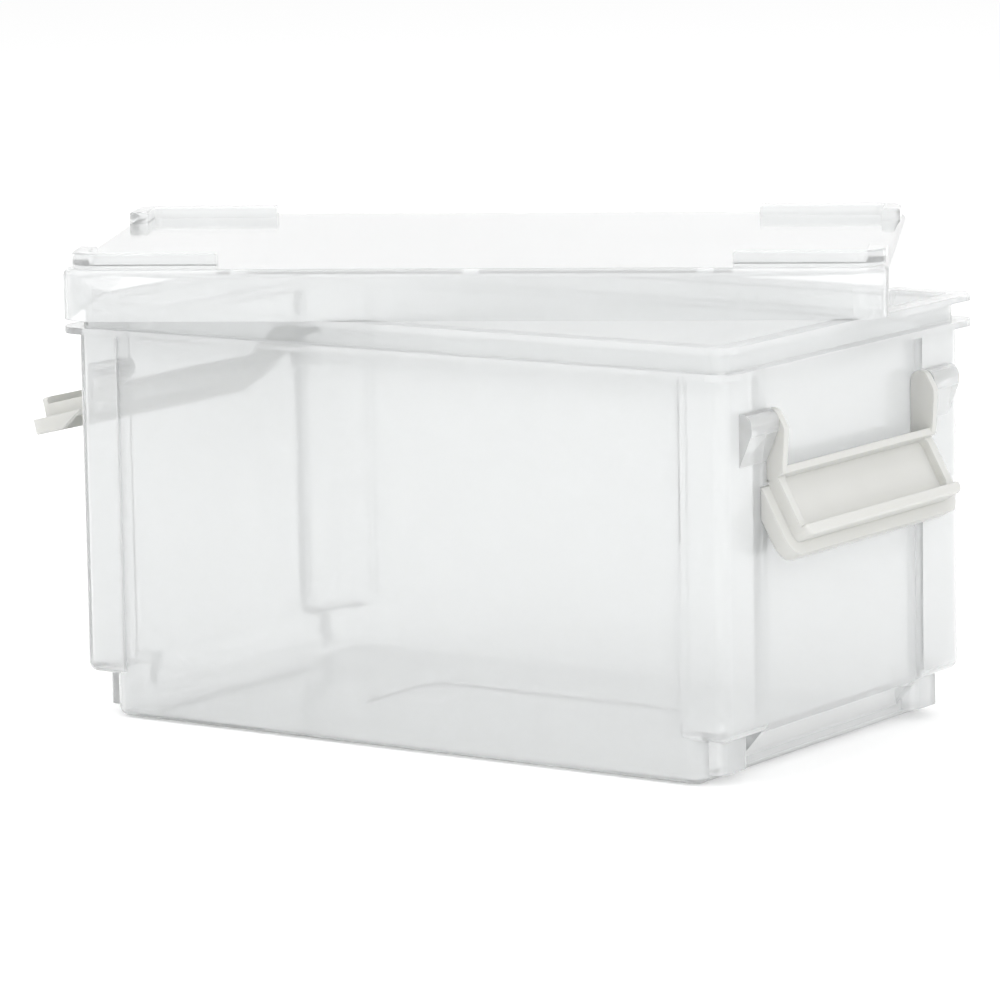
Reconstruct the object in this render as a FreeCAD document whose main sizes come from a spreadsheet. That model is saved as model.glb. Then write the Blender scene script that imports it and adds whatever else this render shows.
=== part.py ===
import FreeCAD, Part
import math
import os

import Sketcher

# Clear storage case for photo prints: a bin with a stepped rim, a loose lid and two end latches.
# Frame: +X to the right end, +Y to the back, +Z up, origin on the floor under the bin's middle.
# Lengths in millimetres, angles in degrees.

SIZES = {
    # bin
    "wall": 2.0,
    "floor_half_length": 131.0,
    "floor_half_width": 82.0,
    "floor_corner": 6.0,
    "floor_edge": 4.0,
    "panel_half_length": 58.0,
    "panel_half_width": 26.0,
    "panel_corner": 10.0,
    "panel_depth": 0.6,
    "column_reach": 12.0,
    "column_swell": 1.6,
    "column_corner": 4.7,
    "column_overlap": 7.0,
    "column_foot": 16.3,
    "column_foot_edge": 4.0,
    "recess_half_width": 55.0,
    "recess_depth": 3.4,
    "slope_low": 5.8,
    "slope_rise": 10.0,
    "pad_reach": 6.0,
    "pad_gap": 4.0,
    "pad_set_back": 5.5,
    "pad_low": 3.5,
    "pad_corner": 3.0,
    "rim_top": 158.0,
    "shelf_top": 148.5,
    "flange_thickness": 2.5,
    "flange_end_reach": 5.2,
    "flange_side_reach": 5.6,
    "flange_corner": 9.5,
    "collar_set_back": 1.0,
    "collar_corner": 5.0,
    # pivots
    "pivot_proud": 1.0,
    "pivot_up": 128.8,
    "pivot_radius": 2.0,
    "pivot_play": 0.08,
    "stub_reach": 16.5,
    "pivot_end_gap": 0.3,
    "housing_round": 4.2,
    "housing_wall": 1.6,
    "housing_drop": 15.0,
    "housing_swell": 3.0,
    # lid
    "lid_gap": 0.7,
    "lid_corner": 12.6,
    "lid_height": 18.9,
    "lid_wall": 2.0,
    "lid_edge": 3.0,
    "rest_block_drop": 7.4,
    "rest_block_depth": 5.0,
    "rest_block_half": 3.0,
    "rest_block_pitch": 85.0,
    "rail_height": 4.6,
    "rail_side_width": 5.0,
    "rail_end_width": 7.0,
    "rail_side_inset": 13.0,
    "rail_end_inset": 1.5,
    "rail_long": 55.0,
    "rail_short": 24.0,
    "rail_corner": 10.0,
    "rail_edge": 1.0,
    # latch, measured from the pivot: "along" runs to the tip, "back" runs away from the mouth
    "mouth_side": 4.0,
    "mouth_corner": 2.5,
    "tray_near": 16.7,
    "tray_far": 43.0,
    "tray_corner": 3.0,
    "tray_floor_back": 10.4,
    "step_back": 12.0,
    "grip_far": 47.5,
    "grip_swell": 5.1,
    "grip_corner": 7.0,
    "grip_back": 18.0,
    "latch_wall": 2.0,
    "tray_edge": 1.2,
    "grip_edge": 0.8,
    "arm_gap": 0.6,
    "arm_thickness": 3.0,
    "arm_round": 3.9,
    "arm_eye_round": 3.6,
    "arm_kink": 5.5,
    "arm_kink_round": 3.0,
    "seat_gap": 0.3,
    # poses
    "hang_angle": 61.0,
    "left_angle": 14.0,
    "lid_angle": 27.8,
    "lid_shift_left": 18.1,
    "lid_shift_back": 15.3,
    # past the surface, for cuts
    "overrun": 1.0,
}

# lengths that follow from the sizes above
FOLLOWS = {
    "column_face": "floor_half_length + column_reach",
    "column_side": "floor_half_width + column_swell",
    "column_root": "floor_half_length - column_overlap",
    "pad_face": "floor_half_length + pad_reach",
    "pad_inner": "recess_half_width + pad_gap",
    "pad_outer": "floor_half_width - pad_set_back",
    "flange_half_length": "column_face + flange_end_reach",
    "flange_half_width": "column_side + flange_side_reach",
    "collar_half_length": "column_face - collar_set_back",
    "collar_half_width": "column_side - collar_set_back",
    "lid_half_length": "flange_half_length + lid_gap + lid_wall",
    "lid_half_width": "flange_half_width + lid_gap + lid_wall",
    "pivot_out": "column_face + pivot_proud",
    "pivot_reach": "recess_half_width + stub_reach",
    "mouth_back": "flange_end_reach - pivot_proud + seat_gap",
    "mouth_near": "shelf_top - seat_gap - pivot_up",
    "mouth_far": "shelf_top + lid_height + seat_gap - pivot_up",
    "arm_outer": "recess_half_width - arm_gap",
    "tray_half_width": "recess_half_width - arm_gap",
    "mouth_half_width": "tray_half_width - mouth_side",
    "grip_half_width": "tray_half_width + grip_swell",
}
# how far a point may lie off a face, as a share of the overrun
FINE_SHARE = 100

os.makedirs("parts", exist_ok=True)
doc = FreeCAD.newDocument("photo_keeper_case")
sizes = doc.addObject("Spreadsheet::Sheet", "sizes")
for row, (word, number) in enumerate(SIZES.items(), start=1):
    sizes.set("A" + str(row), word)
    sizes.set("B" + str(row), str(number))
    sizes.setAlias("B" + str(row), word)
doc.recompute()


def bound(words):
    """Give an expression in the sheet's names, as the objects read it."""
    text = ""
    word = ""
    for mark in words + " ":
        if mark.isalpha() or mark == "_":
            word += mark
            continue
        if word in FOLLOWS:
            text += "(" + bound(FOLLOWS[word]) + ")"
        elif word in SIZES:
            text += "sizes." + word
        else:
            text += word
        word = ""
        text += mark
    return text.strip()


def value(words):
    """Give the number that an expression in the sheet's names stands for."""
    answer = doc.Objects[0].evalExpression(bound(words))
    return float(getattr(answer, "Value", answer))


def plane_of(body, role):
    for feature in body.Origin.OriginFeatures:
        if feature.Role == role:
            return feature


def new_body(name):
    body = doc.addObject("PartDesign::Body", name)
    body.Label = name
    return body


def outline(body, name, role, start, corners):
    """Draw a closed outline on an origin plane; a corner is (across, up, radius or "")."""
    sketch = body.newObject("Sketcher::SketchObject", name)
    sketch.AttachmentSupport = [(plane_of(body, role), "")]
    sketch.MapMode = "FlatFace"
    sketch.setExpression("AttachmentOffset.Base.z", bound(start))
    points = [FreeCAD.Vector(value(x), value(y), 0) for x, y, radius in corners]
    count = len(points)
    arcs = {}
    trims = []
    for i in range(count):
        here = points[i]
        if corners[i][2] == "":
            trims.append((here, here))
            continue
        radius = value(corners[i][2])
        before = (points[i - 1] - here).normalize()
        after = (points[(i + 1) % count] - here).normalize()
        half = before.getAngle(after) / 2
        trim = radius / math.tan(half)
        middle = (before + after).normalize() * (radius / math.sin(half))
        arcs[i] = here + middle
        trims.append((here + before * trim, here + after * trim))
    lines = []
    for i in range(count):
        lines.append(sketch.addGeometry(Part.LineSegment(trims[i][1], trims[(i + 1) % count][0])))
    for i in range(count):
        last = lines[i - 1]
        following = lines[i]
        across, up, radius = corners[i]
        if radius == "":
            sketch.addConstraint(Sketcher.Constraint("Coincident", last, 2, following, 1))
            fixed = (following, 1)
        else:
            centre = arcs[i]
            first = trims[i][0] - centre
            second = trims[i][1] - centre
            size = first.Length
            turn = first.cross(second).z
            first_angle = math.atan2(first.y, first.x)
            second_angle = math.atan2(second.y, second.x)
            circle = Part.Circle(centre, FreeCAD.Vector(0, 0, 1), size)
            if turn > 0:
                arc = sketch.addGeometry(Part.ArcOfCircle(circle, first_angle, second_angle))
                ends = (1, 2)
            else:
                arc = sketch.addGeometry(Part.ArcOfCircle(circle, second_angle, first_angle))
                ends = (2, 1)
            sketch.addConstraint(Sketcher.Constraint("Tangent", last, 2, arc, ends[0]))
            sketch.addConstraint(Sketcher.Constraint("Tangent", arc, ends[1], following, 1))
            rounding = sketch.addConstraint(Sketcher.Constraint("Radius", arc, size))
            sketch.setExpression("Constraints[" + str(rounding) + "]", bound(radius))
            point = sketch.addGeometry(Part.Point(points[i]), True)
            sketch.addConstraint(Sketcher.Constraint("PointOnObject", point, 1, last))
            sketch.addConstraint(Sketcher.Constraint("PointOnObject", point, 1, following))
            fixed = (point, 1)
        for kind, words, place in (("DistanceX", across, points[i].x), ("DistanceY", up, points[i].y)):
            number = sketch.addConstraint(
                Sketcher.Constraint(kind, -1, 1, fixed[0], fixed[1], place)
            )
            sketch.setExpression("Constraints[" + str(number) + "]", bound(words))
    sketch.Visibility = False
    return sketch


def disc(body, name, role, start, across, up, radius):
    sketch = body.newObject("Sketcher::SketchObject", name)
    sketch.AttachmentSupport = [(plane_of(body, role), "")]
    sketch.MapMode = "FlatFace"
    sketch.setExpression("AttachmentOffset.Base.z", bound(start))
    centre = FreeCAD.Vector(value(across), value(up), 0)
    circle = Part.Circle(centre, FreeCAD.Vector(0, 0, 1), value(radius))
    ring = sketch.addGeometry(circle)
    for kind, words, place in (("DistanceX", across, centre.x), ("DistanceY", up, centre.y)):
        number = sketch.addConstraint(Sketcher.Constraint(kind, -1, 1, ring, 3, place))
        sketch.setExpression("Constraints[" + str(number) + "]", bound(words))
    number = sketch.addConstraint(Sketcher.Constraint("Radius", ring, value(radius)))
    sketch.setExpression("Constraints[" + str(number) + "]", bound(radius))
    sketch.Visibility = False
    return sketch


def grow(body, name, sketch, length):
    """Add the outline's solid, from the outline on along the plane's normal."""
    before = body.Tip.Shape.Volume if body.Tip else 0.0
    pad = body.newObject("PartDesign::Pad", name)
    pad.Profile = sketch
    pad.setExpression("Length", bound(length))
    doc.recompute()
    if body.Tip.Shape.Volume <= before:
        raise ValueError(name + " adds nothing")
    return pad


def carve(body, name, sketch, length):
    """Cut the outline's solid away, from the outline back against the plane's normal."""
    before = body.Tip.Shape.Volume
    pocket = body.newObject("PartDesign::Pocket", name)
    pocket.Profile = sketch
    pocket.setExpression("Length", bound(length))
    doc.recompute()
    if body.Tip.Shape.Volume >= before:
        raise ValueError(name + " cuts nothing")
    return pocket


def soften(body, name, radius, chosen):
    """Round the edges of the body that pass the test."""
    tip = body.Tip
    edges = ["Edge" + str(i) for i, edge in enumerate(tip.Shape.Edges, start=1) if chosen(edge)]
    if not edges:
        raise ValueError(name + " finds no edge")
    rounding = body.newObject("PartDesign::Fillet", name)
    rounding.Base = (tip, edges)
    rounding.setExpression("Radius", bound(radius))
    doc.recompute()
    return rounding


def box_corners(left, right, low, high, radius):
    return [(left, low, radius), (right, low, radius), (right, high, radius), (left, high, radius)]


def centred(half_length, half_width, radius):
    return box_corners("-(" + half_length + ")", half_length, "-(" + half_width + ")", half_width, radius)


def on_height(edge, height):
    tolerance = value("overrun") / FINE_SHARE
    return all(abs(vertex.Z - height) < tolerance for vertex in edge.Vertexes)


def tub(body):
    """The bin's walls and floor below the shelf, as one block."""
    shelf_low = "shelf_top - flange_thickness"
    floor = outline(body, "floor_outline", "XY_Plane", "0",
                    centred("floor_half_length", "floor_half_width", "floor_corner"))
    grow(body, "floor_block", floor, shelf_low)
    soften(body, "floor_rounding", "floor_edge", lambda edge: on_height(edge, 0))
    for side, sign in (("right", ""), ("left", "-")):
        ends = outline(body, side + "_column_outline", "XY_Plane", "column_foot", [
            (sign + "column_root", "-column_side", ""),
            (sign + "column_face", "-column_side", "column_corner"),
            (sign + "column_face", "column_side", "column_corner"),
            (sign + "column_root", "column_side", ""),
        ])
        grow(body, side + "_columns", ends, shelf_low + " - column_foot")
    foot = value("column_foot")
    reach = value("floor_half_length")
    soften(body, "column_foot_rounding", "column_foot_edge",
           lambda edge: on_height(edge, foot) and abs(edge.CenterOfMass.x) > reach)
    for side, sign in (("right", ""), ("left", "-")):
        recess = outline(body, side + "_recess_outline", "XY_Plane", shelf_low, [
            (sign + "(column_face - recess_depth)", "-recess_half_width", ""),
            (sign + "(column_face + overrun)", "-recess_half_width", ""),
            (sign + "(column_face + overrun)", "recess_half_width", ""),
            (sign + "(column_face - recess_depth)", "recess_half_width", ""),
        ])
        carve(body, side + "_recess", recess, shelf_low + " - column_foot + overrun")
        slope = outline(body, side + "_slope_outline", "XZ_Plane", "-recess_half_width", [
            (sign + "column_root", "slope_low", ""),
            (sign + "floor_half_length", "slope_low", ""),
            (sign + "(column_face - recess_depth)", "slope_low + slope_rise", ""),
            (sign + "(column_face - recess_depth)", "column_foot + column_foot_edge + overrun", ""),
            (sign + "column_root", "column_foot + column_foot_edge + overrun", ""),
        ])
        grow(body, side + "_slope", slope, "2 * recess_half_width")
        for face, way in (("front", "-"), ("back", "")):
            pad = outline(body, side + "_" + face + "_pad_outline", "XY_Plane", "pad_low", [
                (sign + "column_root", way + "pad_inner", ""),
                (sign + "pad_face", way + "pad_inner", "pad_corner"),
                (sign + "pad_face", way + "pad_outer", "pad_corner"),
                (sign + "column_root", way + "pad_outer", ""),
            ])
            grow(body, side + "_" + face + "_pad", pad, "column_foot - pad_low + wall")


def rim(body):
    """Shelf, collar and top flange around the bin's mouth."""
    shelf = outline(body, "shelf_outline", "XY_Plane", "shelf_top - flange_thickness",
                    centred("flange_half_length", "flange_half_width", "flange_corner"))
    grow(body, "shelf", shelf, "flange_thickness")
    collar = outline(body, "collar_outline", "XY_Plane", "shelf_top",
                     centred("collar_half_length", "collar_half_width", "collar_corner"))
    grow(body, "collar", collar, "rim_top - shelf_top")
    top = outline(body, "rim_outline", "XY_Plane", "rim_top - flange_thickness",
                  centred("flange_half_length", "flange_half_width", "flange_corner"))
    grow(body, "rim", top, "flange_thickness")


def housings(body):
    """Rounded swellings on the columns, each with a blind bore for a pivot stub."""
    for side, sign in (("right", ""), ("left", "-")):
        for face, start, bore_start in (
            ("back", "-(pivot_reach + pivot_end_gap + housing_wall)", "-recess_half_width + overrun"),
            ("front", "recess_half_width", "pivot_reach + pivot_end_gap"),
        ):
            swelling = outline(body, side + "_" + face + "_housing_outline", "XZ_Plane", start, [
                (sign + "(column_face - wall / 2)", "pivot_up + housing_round", ""),
                (sign + "(pivot_out + housing_round)", "pivot_up + housing_round", "housing_round"),
                (sign + "(pivot_out + housing_round)", "pivot_up - housing_swell", "housing_round"),
                (sign + "column_face", "pivot_up - housing_drop", ""),
                (sign + "(column_face - wall / 2)", "pivot_up - housing_drop", ""),
            ])
            grow(body, side + "_" + face + "_housing", swelling,
                 "pivot_reach + pivot_end_gap + housing_wall - recess_half_width")
            bore = disc(body, side + "_" + face + "_bore_outline", "XZ_Plane", bore_start,
                        sign + "pivot_out", "pivot_up", "pivot_radius + pivot_play")
            carve(body, side + "_" + face + "_bore", bore,
                  "pivot_reach + pivot_end_gap - recess_half_width + overrun")


def hollow(body):
    """The space for the prints, one wall inside the outside."""
    mouth = outline(body, "mouth_outline", "XY_Plane", "rim_top + overrun",
                    centred("collar_half_length - wall", "collar_half_width - wall",
                            "collar_corner - wall"))
    carve(body, "mouth", mouth, "rim_top + overrun - shelf_top + flange_thickness")
    deep = outline(body, "hollow_outline", "XY_Plane", "shelf_top",
                   centred("floor_half_length - wall", "floor_half_width - wall",
                           "floor_corner - wall"))
    carve(body, "hollow", deep, "shelf_top - wall")
    panel = outline(body, "floor_panel_outline", "XY_Plane", "wall + overrun",
                    centred("panel_half_length", "panel_half_width", "panel_corner"))
    carve(body, "floor_panel", panel, "panel_depth + overrun")
    for side, sign in (("right", ""), ("left", "-")):
        panel = outline(body, side + "_panel_outline", "XZ_Plane", "recess_half_width - wall", [
            (sign + "column_root", "slope_low + wall", ""),
            (sign + "(floor_half_length - wall / 2)", "slope_low + wall", ""),
            (sign + "(column_face - recess_depth - wall)", "slope_low + slope_rise + wall", ""),
            (sign + "(column_face - recess_depth - wall)", "shelf_top", ""),
            (sign + "column_root", "shelf_top", ""),
        ])
        carve(body, side + "_panel_hollow", panel, "2 * (recess_half_width - wall)")
        for face, way in (("front", "-"), ("back", "")):
            column = outline(body, side + "_" + face + "_column_hollow_outline", "XY_Plane",
                             "shelf_top", [
                (sign + "column_root", way + "(recess_half_width - wall - overrun)", ""),
                (sign + "(column_face - recess_depth - wall)",
                 way + "(recess_half_width - wall - overrun)", ""),
                (sign + "(column_face - recess_depth - wall)", way + "(recess_half_width + wall)", ""),
                (sign + "(column_face - wall)", way + "(recess_half_width + wall)", ""),
                (sign + "(column_face - wall)", way + "(column_side - wall)", "column_corner - wall"),
                (sign + "(column_root + wall)", way + "(column_side - wall)", ""),
                (sign + "(column_root + wall)", way + "(floor_half_width - wall - overrun)", ""),
                (sign + "column_root", way + "(floor_half_width - wall - overrun)", ""),
            ])
            carve(body, side + "_" + face + "_column_hollow", column,
                  "shelf_top - column_foot - column_foot_edge")


def build_bin():
    body = new_body("bin")
    tub(body)
    rim(body)
    housings(body)
    hollow(body)
    return body


def rails(body):
    """Four raised corners on the lid that keep another case in place on top."""
    for side, sign in (("right", ""), ("left", "-")):
        for face, way in (("front", "-"), ("back", "")):
            far_x = sign + "(lid_half_length - rail_end_inset)"
            in_x = sign + "(lid_half_length - rail_end_inset - rail_end_width)"
            end_x = sign + "(lid_half_length - rail_end_inset - rail_long)"
            far_y = way + "(lid_half_width - rail_side_inset)"
            in_y = way + "(lid_half_width - rail_side_inset - rail_side_width)"
            end_y = way + "(lid_half_width - rail_side_inset - rail_short)"
            rail = outline(body, side + "_" + face + "_rail_outline", "XY_Plane",
                           "lid_height - lid_wall / 2", [
                (end_x, far_y, ""),
                (far_x, far_y, "rail_corner"),
                (far_x, end_y, ""),
                (in_x, end_y, ""),
                (in_x, in_y, "rail_corner - rail_end_width"),
                (end_x, in_y, ""),
            ])
            grow(body, side + "_" + face + "_rail", rail, "rail_height + lid_wall / 2")
    crest = value("lid_height + rail_height")
    soften(body, "rail_rounding", "rail_edge", lambda edge: on_height(edge, crest))


def build_lid():
    body = new_body("lid")
    block = outline(body, "lid_outline", "XY_Plane", "0",
                    centred("lid_half_length", "lid_half_width", "lid_corner"))
    grow(body, "lid_block", block, "lid_height")
    top = value("lid_height")
    soften(body, "lid_rounding", "lid_edge", lambda edge: on_height(edge, top))
    inside = outline(body, "lid_hollow_outline", "XY_Plane", "lid_height - lid_wall",
                     centred("lid_half_length - lid_wall", "lid_half_width - lid_wall",
                             "lid_corner - lid_wall"))
    carve(body, "lid_hollow", inside, "lid_height - lid_wall")
    for place, middle in (("left", "-rest_block_pitch"), ("middle", "0"), ("right", "rest_block_pitch")):
        for face, way in (("front", "-"), ("back", "")):
            deep = way + "(lid_half_width - lid_wall - rest_block_depth)"
            seat = way + "(lid_half_width - lid_wall / 2)"
            block = outline(body, place + "_" + face + "_rest_outline", "XY_Plane",
                            "lid_height - lid_wall - rest_block_drop", [
                (middle + " - rest_block_half", deep, ""),
                (middle + " + rest_block_half", deep, ""),
                (middle + " + rest_block_half", seat, ""),
                (middle + " - rest_block_half", seat, ""),
            ])
            grow(body, place + "_" + face + "_rest", block, "rest_block_drop + lid_wall / 2")
    rails(body)
    return body


def build_latch(label):
    """A latch in its own frame: X along to the tip, Z out of the mouth, pivot at the origin."""
    body = new_body(label)
    grip = outline(body, label + "_grip_outline", "XY_Plane", "-grip_back", [
        ("tray_near", "-grip_half_width", ""),
        ("grip_far", "-grip_half_width", "grip_corner"),
        ("grip_far", "grip_half_width", "grip_corner"),
        ("tray_near", "grip_half_width", ""),
    ])
    grow(body, label + "_grip", grip, "grip_back - step_back")
    tray = outline(body, label + "_tray_outline", "XY_Plane", "-(step_back + latch_wall / 2)", [
        ("tray_near", "-tray_half_width", ""),
        ("tray_far", "-tray_half_width", "tray_corner"),
        ("tray_far", "tray_half_width", "tray_corner"),
        ("tray_near", "tray_half_width", ""),
    ])
    grow(body, label + "_tray", tray, "step_back + latch_wall / 2 - mouth_back")
    front = value("-mouth_back")
    near = value("tray_near")
    slack = value("overrun") / FINE_SHARE
    soften(body, label + "_tray_rounding", "tray_edge",
           lambda edge: on_height(edge, front) and edge.CenterOfMass.x > near + slack)
    back = value("-grip_back")
    soften(body, label + "_grip_rounding", "grip_edge",
           lambda edge: on_height(edge, back) and edge.CenterOfMass.x > near + slack)
    mouth = outline(body, label + "_mouth_outline", "XY_Plane", "overrun - mouth_back",
                    box_corners("mouth_near", "mouth_far", "-mouth_half_width", "mouth_half_width",
                                "mouth_corner"))
    carve(body, label + "_mouth", mouth, "tray_floor_back - mouth_back + overrun")
    # the seated lid is wider than the latch, so its skirt passes over both sides of the tray
    skirt = outline(body, label + "_skirt_outline", "XY_Plane", "overrun - mouth_back",
                    box_corners("mouth_near", "mouth_far", "-(tray_half_width + overrun)",
                                "tray_half_width + overrun", ""))
    carve(body, label + "_skirt_pass", skirt,
          "lid_half_length - pivot_out + seat_gap - mouth_back + overrun")
    under = outline(body, label + "_under_outline", "XY_Plane", "-(tray_floor_back + latch_wall)", [
        ("tray_near + latch_wall", "-(tray_half_width - latch_wall)", ""),
        ("tray_far - latch_wall", "-(tray_half_width - latch_wall)", "tray_corner - latch_wall"),
        ("tray_far - latch_wall", "tray_half_width - latch_wall", "tray_corner - latch_wall"),
        ("tray_near + latch_wall", "tray_half_width - latch_wall", ""),
    ])
    carve(body, label + "_under", under, "grip_back - tray_floor_back + overrun")
    inner = outline(body, label + "_inner_outline", "XY_Plane", "-(step_back + latch_wall)", [
        ("tray_near + latch_wall", "-(grip_half_width - latch_wall)", ""),
        ("grip_far - latch_wall", "-(grip_half_width - latch_wall)", "grip_corner - latch_wall"),
        ("grip_far - latch_wall", "grip_half_width - latch_wall", "grip_corner - latch_wall"),
        ("tray_near + latch_wall", "grip_half_width - latch_wall", ""),
    ])
    carve(body, label + "_inner", inner, "grip_back - step_back + overrun")
    # back edges of the sides follow the column faces in the hanging pose
    gap = "(pivot_out - column_face - seat_gap)"
    line_near = "-(" + gap + " + (tray_near - overrun) * cos(hang_angle)) / sin(hang_angle)"
    line_far = "-(" + gap + " + (grip_far + overrun) * cos(hang_angle)) / sin(hang_angle)"
    deep = "-(grip_back + grip_far)"
    trim = outline(body, label + "_trim_outline", "XZ_Plane", "grip_half_width + overrun", [
        ("tray_near - overrun", line_near, ""),
        ("grip_far + overrun", line_far, ""),
        ("grip_far + overrun", deep, ""),
        ("tray_near - overrun", deep, ""),
    ])
    carve(body, label + "_trim", trim, "2 * (grip_half_width + overrun)")
    # arms with their round ends on the pivot; their backs run down the recess when the latch hangs
    foot = "tray_near + latch_wall"
    for face, start in (("back", "-arm_outer"), ("front", "arm_outer - arm_thickness")):
        arm = outline(body, label + "_" + face + "_arm_outline", "XZ_Plane", start, [
            ("-arm_round", "-arm_round * (1 - cos(hang_angle)) / sin(hang_angle)", "arm_round"),
            ("-arm_round", "arm_round", "arm_eye_round"),
            ("arm_kink", "arm_round", "arm_kink_round"),
            (foot, "-mouth_back", ""),
            (foot, "-(arm_round + (" + foot + ") * cos(hang_angle)) / sin(hang_angle)", ""),
        ])
        grow(body, label + "_" + face + "_arm", arm, "arm_thickness")
    for face, start in (("back", "-pivot_reach"), ("front", "arm_outer - arm_thickness / 2")):
        stub = disc(body, label + "_" + face + "_stub_outline", "XZ_Plane", start, "0", "0",
                    "pivot_radius")
        grow(body, label + "_" + face + "_stub", stub, "pivot_reach - arm_outer + arm_thickness / 2")
    return body


def write_node(body):
    """Check a sub-part and write it in its place."""
    if body.Shape.isNull() or not body.Shape.isValid():
        raise ValueError(body.Label + " has no valid shape")
    if len(body.Shape.Solids) != 1:
        raise ValueError(body.Label + " is not one solid")
    body.Shape.exportStep("parts/" + body.Label + ".step")
    print(body.Label, round(body.Shape.Volume / 1000, 2), body.Shape.BoundBox)


case_bin = build_bin()
lid = build_lid()
latch_right = build_latch("latch_right")
latch_left = build_latch("latch_left")

lid.setExpression("Placement.Base.x", bound("-lid_shift_left"))
lid.setExpression("Placement.Base.y", bound("lid_shift_back"))
lid.setExpression("Placement.Base.z", bound("rim_top"))
lid.Placement.Rotation = FreeCAD.Rotation(FreeCAD.Vector(0, 0, 1), value("lid_angle"))
across = FreeCAD.Vector(0, 1, 0)
pivot_out = value("pivot_out")
pivot_up = value("pivot_up")
latch_right.Placement = FreeCAD.Placement(
    FreeCAD.Vector(pivot_out, 0, pivot_up), FreeCAD.Rotation(across, value("hang_angle")))
half_turn = FreeCAD.Rotation(FreeCAD.Vector(0, 0, 1), 180)
latch_left.Placement = FreeCAD.Placement(
    FreeCAD.Vector(-pivot_out, 0, pivot_up),
    half_turn.multiply(FreeCAD.Rotation(across, value("left_angle"))))
doc.recompute()

for thing in doc.Objects:
    if "Invalid" in thing.State or "Error" in thing.State:
        raise ValueError(thing.Name + " failed to build")
for piece in (case_bin, lid, latch_right, latch_left):
    write_node(piece)
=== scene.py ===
from math import radians

import bpy
from mathutils import Matrix, Vector

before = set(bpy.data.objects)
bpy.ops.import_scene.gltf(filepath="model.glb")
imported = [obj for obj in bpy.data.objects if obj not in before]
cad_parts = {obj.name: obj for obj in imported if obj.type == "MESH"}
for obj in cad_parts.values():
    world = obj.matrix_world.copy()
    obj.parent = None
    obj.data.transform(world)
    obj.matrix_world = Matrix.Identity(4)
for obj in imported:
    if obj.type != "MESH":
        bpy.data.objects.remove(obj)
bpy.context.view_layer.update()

WHITE = (1, 1, 1, 1)

# sizes of the patterns in the plastics' surface, in millimetres
FLOW_WAVE_MM = 110
SKIN_WAVE_MM = 6
SHADE_CLOUD_MM = 36
# the sparked grain of the latches is near 0.05 mm, too fine to show, so it is drawn this coarse
LATCH_GRAIN_MM = 0.7
# how many finer layers each of these patterns has
FLOW_DETAIL = 2.0
SKIN_DETAIL = 3.0
CLOUD_DETAIL = 4.0
GRAIN_DETAIL = 2.0

POLYPROPYLENE_IOR = 1.49
# lower than the plastic's own, chosen for likeness
WALL_IOR = 1.18
# the light that goes straight through the clear plastic; its milkiness scatters the rest
CLEAR_SHARE = 0.7
# the gloss that the polished mould leaves on the clear plastic
GLOSS_SHARE = 0.8
GLOSS_ROUGHNESS = 0.08
# height of the waves in metres, and the skin's share of it
WAVE_HEIGHT = 0.002
SKIN_HEIGHT_SHARE = 0.04
# the clear plastic's roughness varies between these shares of its mean
SMOOTHEST_SHARE = 0.6
ROUGHEST_SHARE = 1.4

# roughness of the latches' satin, from the shinier to the duller clouds
SATIN_SMOOTHEST = 0.3
SATIN_ROUGHEST = 0.46
# the latches' rounded edges and their grain, in metres
LATCH_EDGE = 0.0006
EDGE_SAMPLES = 4
GRAIN_HEIGHT = 0.0002
GRAIN_STRENGTH = 0.12
# the light that enters the latches' plastic, and how far it goes in red, green and blue, in metres
MILKY_SHARE = 0.25
MILKY_DEPTHS = (0.004, 0.004, 0.0035)

# the floor, in metres, a little below the case
FLOOR_HALF = 6.0
FLOOR_DROP = 0.0004
FLOOR_COLOUR = "#F4F4F4"
# brings the lit floor just up to white and leaves the case's shadow on it
FLOOR_LIFT = 0.26
SOFT_COLOUR = "#F2F2F2"
SOFT_STRENGTH = 0.85
# each lamp's name, place and width in metres, and power in watts
LAMPS = (
    ("key", (-0.9, -1.3, 1.7), 1.4, 14.0),
    ("fill", (1.7, -0.9, 0.9), 1.2, 11.0),
    ("top", (0.0, 0.4, 2.0), 1.8, 13.5),
)
LAMP_AIM = (0, 0, 0.1)

# the photograph's view in degrees: round to the right end, up, and leaning
CAMERA_ROUND = 34.1445
CAMERA_UP = 9.2716
CAMERA_LEAN = -0.9801
# where the camera sees the origin, in metres
ORIGIN_RIGHT = 0.00823
ORIGIN_DOWN = 0.07993
ORIGIN_AHEAD = 2.18598
FOCAL_PIXELS = 5790.6
PICTURE_PIXELS = 1000
SENSOR_MM = 36.0
FARTHEST_SEEN = 30.0


def colour(code):
    """Linear RGBA from an sRGB hex colour."""
    parts = [int(code[i:i + 2], 16) / 255 for i in (1, 3, 5)]
    linear = [p / 12.92 if p <= 0.04045 else ((p + 0.055) / 1.055) ** 2.4 for p in parts]
    return (*linear, 1.0)


def waves(size_mm):
    """Noise scale, in waves a metre, of a pattern of this size."""
    return 1000 / size_mm


def new_material(name):
    material = bpy.data.materials.new(name)
    material.use_nodes = True
    material.node_tree.nodes.clear()
    return material


def node(tree, kind, settings=None, **links):
    """Add a node; settings are attributes, links are socket values or (node, output) pairs."""
    made = tree.nodes.new(kind)
    for key, setting in (settings or {}).items():
        setattr(made, key, setting)
    for key, wanted in links.items():
        socket = made.inputs[int(key[1:])] if key[1:].isdigit() else made.inputs[key.replace("_", " ")]
        if isinstance(wanted, tuple) and len(wanted) == 2 and hasattr(wanted[0], "outputs"):
            tree.links.new(wanted[0].outputs[wanted[1]], socket)
        else:
            socket.default_value = wanted
    return made


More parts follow.
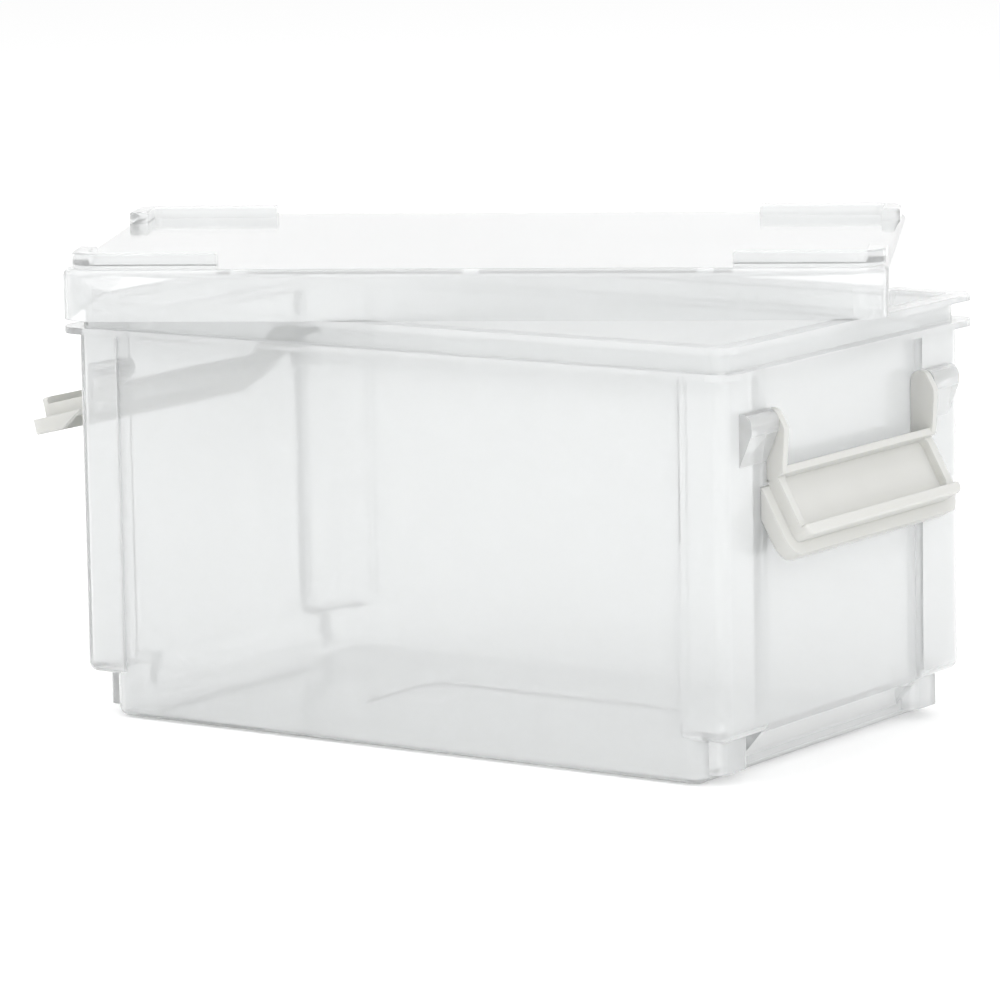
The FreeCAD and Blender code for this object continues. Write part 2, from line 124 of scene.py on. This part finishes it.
def clear_plastic(name, tint, roughness, wave):
    """Injection-moulded clarified polypropylene: a little milky, with faint flow waves from the mould."""
    material = new_material(name)
    tree = material.node_tree
    place = node(tree, "ShaderNodeTexCoord")
    flow = node(tree, "ShaderNodeTexNoise", Vector=(place, "Object"), Scale=waves(FLOW_WAVE_MM),
                Detail=FLOW_DETAIL)
    skin = node(tree, "ShaderNodeTexNoise", Vector=(place, "Object"), Scale=waves(SKIN_WAVE_MM),
                Detail=SKIN_DETAIL)
    both = node(tree, "ShaderNodeMath", {"operation": "MULTIPLY_ADD"}, _0=(skin, "Fac"),
                _1=SKIN_HEIGHT_SHARE, _2=(flow, "Fac"))
    bump = node(tree, "ShaderNodeBump", Strength=wave, Distance=WAVE_HEIGHT, Height=(both, "Value"))
    matt = node(tree, "ShaderNodeMapRange", Value=(skin, "Fac"), To_Min=roughness * SMOOTHEST_SHARE,
                To_Max=roughness * ROUGHEST_SHARE)
    shader = node(tree, "ShaderNodeBsdfPrincipled", Base_Color=colour(tint), IOR=WALL_IOR,
                  Roughness=(matt, "Result"), Normal=(bump, "Normal"), Transmission_Weight=CLEAR_SHARE,
                  Coat_Weight=GLOSS_SHARE, Coat_Roughness=GLOSS_ROUGHNESS, Coat_IOR=POLYPROPYLENE_IOR)
    node(tree, "ShaderNodeOutputMaterial", Surface=(shader, "BSDF"))
    return material


def latch_plastic(name, tint, shade):
    """Opaque off-white polypropylene, satin from a lightly sparked mould."""
    material = new_material(name)
    tree = material.node_tree
    place = node(tree, "ShaderNodeTexCoord")
    cloud = node(tree, "ShaderNodeTexNoise", Vector=(place, "Object"), Scale=waves(SHADE_CLOUD_MM),
                 Detail=CLOUD_DETAIL)
    grain = node(tree, "ShaderNodeTexNoise", Vector=(place, "Object"), Scale=waves(LATCH_GRAIN_MM),
                 Detail=GRAIN_DETAIL)
    blend = node(tree, "ShaderNodeMix", {"data_type": "RGBA"}, _0=(cloud, "Fac"), _6=colour(tint),
                 _7=colour(shade))
    matt = node(tree, "ShaderNodeMapRange", Value=(cloud, "Fac"), To_Min=SATIN_SMOOTHEST,
                To_Max=SATIN_ROUGHEST)
    edge = node(tree, "ShaderNodeBevel", {"samples": EDGE_SAMPLES}, Radius=LATCH_EDGE)
    bump = node(tree, "ShaderNodeBump", Strength=GRAIN_STRENGTH, Distance=GRAIN_HEIGHT,
                Height=(grain, "Fac"), Normal=(edge, "Normal"))
    shader = node(tree, "ShaderNodeBsdfPrincipled", Base_Color=(blend, 2), IOR=POLYPROPYLENE_IOR,
                  Roughness=(matt, "Result"), Normal=(bump, "Normal"), Subsurface_Weight=MILKY_SHARE,
                  Subsurface_Radius=MILKY_DEPTHS, Subsurface_Scale=1.0)
    node(tree, "ShaderNodeOutputMaterial", Surface=(shader, "BSDF"))
    return material


def dress(name, material):
    """Give a piece its plastic."""
    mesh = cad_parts[name].data
    mesh.materials.clear()
    mesh.materials.append(material)


def shows_background(tree):
    """1 for rays from the camera, through the plastic or off its gloss, and 0 for diffuse light."""
    path = node(tree, "ShaderNodeLightPath")
    through = node(tree, "ShaderNodeMath", {"operation": "MAXIMUM"}, _0=(path, "Is Camera Ray"),
                   _1=(path, "Is Transmission Ray"))
    return node(tree, "ShaderNodeMath", {"operation": "MAXIMUM"}, _0=(through, "Value"),
                _1=(path, "Is Glossy Ray"))


def backdrop():
    """Pale floor, wide enough to fill the view."""
    mesh = bpy.data.meshes.new("floor")
    corners = [(x * FLOOR_HALF, y * FLOOR_HALF, 0) for x, y in ((-1, -1), (1, -1), (1, 1), (-1, 1))]
    mesh.from_pydata(corners, [], [(0, 1, 2, 3)])
    floor = bpy.data.objects.new("floor", mesh)
    bpy.context.scene.collection.objects.link(floor)
    floor.location.z = -FLOOR_DROP
    material = new_material("studio_floor")
    tree = material.node_tree
    matte = node(tree, "ShaderNodeBsdfDiffuse", Color=colour(FLOOR_COLOUR))
    lift = node(tree, "ShaderNodeMath", {"operation": "MULTIPLY"}, _0=(shows_background(tree), "Value"),
                _1=FLOOR_LIFT)
    glow = node(tree, "ShaderNodeEmission", Color=WHITE, Strength=(lift, "Value"))
    both = node(tree, "ShaderNodeAddShader", _0=(matte, "BSDF"), _1=(glow, "Emission"))
    node(tree, "ShaderNodeOutputMaterial", Surface=(both, "Shader"))
    mesh.materials.append(material)


def surroundings():
    """White for the camera, the plastic and its gloss, and dimmer for diffuse light."""
    world = bpy.data.worlds.new("studio")
    bpy.context.scene.world = world
    world.use_nodes = True
    tree = world.node_tree
    tree.nodes.clear()
    shown = shows_background(tree)
    soft = node(tree, "ShaderNodeBackground", Color=colour(SOFT_COLOUR), Strength=SOFT_STRENGTH)
    white = node(tree, "ShaderNodeBackground", Color=WHITE, Strength=1.0)
    pick = node(tree, "ShaderNodeMixShader", _0=(shown, "Value"), _1=(soft, "Background"),
                _2=(white, "Background"))
    node(tree, "ShaderNodeOutputWorld", Surface=(pick, "Shader"))


def lamps():
    """Three wide soft lamps, turned to the case."""
    for name, place, size, power in LAMPS:
        light = bpy.data.lights.new(name, "AREA")
        light.energy = power
        light.size = size
        lamp = bpy.data.objects.new(name, light)
        bpy.context.scene.collection.objects.link(lamp)
        lamp.location = place
        aim = Vector(LAMP_AIM) - Vector(place)
        lamp.rotation_euler = aim.to_track_quat("-Z", "Y").to_euler()


def photo_camera():
    """The photograph's view, from the front right and a little above."""
    level = Matrix.Rotation(radians(CAMERA_ROUND), 4, "Z")
    raised = Matrix.Rotation(radians(90 - CAMERA_UP), 4, "X")
    leaning = Matrix.Rotation(radians(CAMERA_LEAN), 4, "Z")
    back = Matrix.Translation((-ORIGIN_RIGHT, ORIGIN_DOWN, ORIGIN_AHEAD))
    camera = bpy.data.objects.new("camera", bpy.data.cameras.new("camera"))
    bpy.context.scene.collection.objects.link(camera)
    camera.matrix_world = level @ raised @ leaning @ back
    camera.data.sensor_width = SENSOR_MM
    camera.data.lens = FOCAL_PIXELS * SENSOR_MM / PICTURE_PIXELS
    camera.data.clip_end = FARTHEST_SEEN
    bpy.context.scene.camera = camera


dress("bin", clear_plastic("bin_clear_polypropylene", "#F5F6F6", roughness=0.08, wave=0.1))
dress("lid", clear_plastic("lid_clear_polypropylene", "#F6F7F7", roughness=0.09, wave=0.12))
clip_plastic = latch_plastic("latch_off_white_polypropylene", tint="#DADAD7", shade="#D3D3CF")
dress("latch_right", clip_plastic)
dress("latch_left", clip_plastic)
backdrop()
surroundings()
lamps()
photo_camera()
bpy.context.scene.view_settings.view_transform = "Standard"
